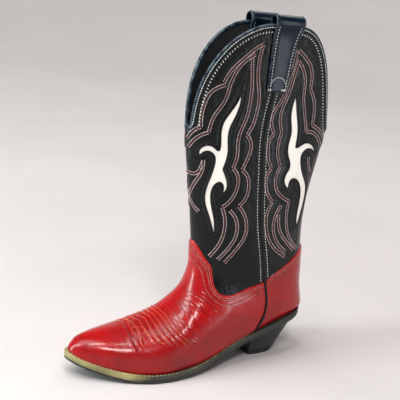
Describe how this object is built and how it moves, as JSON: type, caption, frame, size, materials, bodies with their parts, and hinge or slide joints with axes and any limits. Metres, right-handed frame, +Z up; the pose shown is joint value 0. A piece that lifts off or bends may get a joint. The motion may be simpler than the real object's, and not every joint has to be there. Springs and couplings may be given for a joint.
{
  "type": "cowboy boot",
  "caption": "Left western boot with red glossy foot, black shaft, white flame inlays, scalloped top line, pull straps and an underslung stacked heel.",
  "frame": {"origin": "centre of the heel's flat ground face", "axes": "+Z up the shaft, -Y towards the toe, +X to the outer side of the left foot"},
  "size_m": [0.0942, 0.2834, 0.3655],
  "materials": {
    "red_leather": "gloss",
    "black_leather": "semi gloss",
    "navy_leather": "semi gloss",
    "white_leather": "satin",
    "lining_leather": "matt",
    "stiffener_board": "matt",
    "sole_leather": "satin",
    "welt_leather": "satin",
    "heel_leather": "satin",
    "heel_rubber": "matt",
    "cork": "matt",
    "peg_wood": "matt",
    "steel": "plain",
    "pad_fabric": "matt",
    "pale_thread": "matt"
  },
  "bodies": {
    "root": {"outsole": "sole_leather", "welt": "welt_leather", "heel_rand": "sole_leather", "vamp": "red_leather", "heel_counter_cover": "red_leather", "front_shaft_panel": "black_leather", "back_shaft_panel": "black_leather", "inlay_front_outer": "white_leather", "inlay_front_inner": "white_leather", "inlay_back_outer": "white_leather", "inlay_back_inner": "white_leather", "side_piping_outer": "black_leather", "side_piping_inner": "black_leather", "top_binding": "navy_leather", "pull_strap_outer": "navy_leather", "pull_strap_inner": "navy_leather", "heel_seat_wedge": "heel_leather", "heel_lift_2": "heel_leather", "heel_lift_1": "heel_leather", "heel_top_lift": "heel_rubber", "welt_stitching": "pale_thread", "insole_board": "stiffener_board", "cork_filler": "cork", "waist_filler": "stiffener_board", "steel_shank": "steel", "shank_pegs": "peg_wood", "heel_nails": "steel", "toe_box": "stiffener_board", "heel_counter_stiffener": "stiffener_board", "vamp_interlining": "stiffener_board", "vamp_lining": "lining_leather", "heel_lining": "lining_leather", "front_shaft_lining": "lining_leather", "back_shaft_lining": "lining_leather", "sock_lining": "lining_leather", "heel_pad": "pad_fabric"}
  },
  "joints": []
}
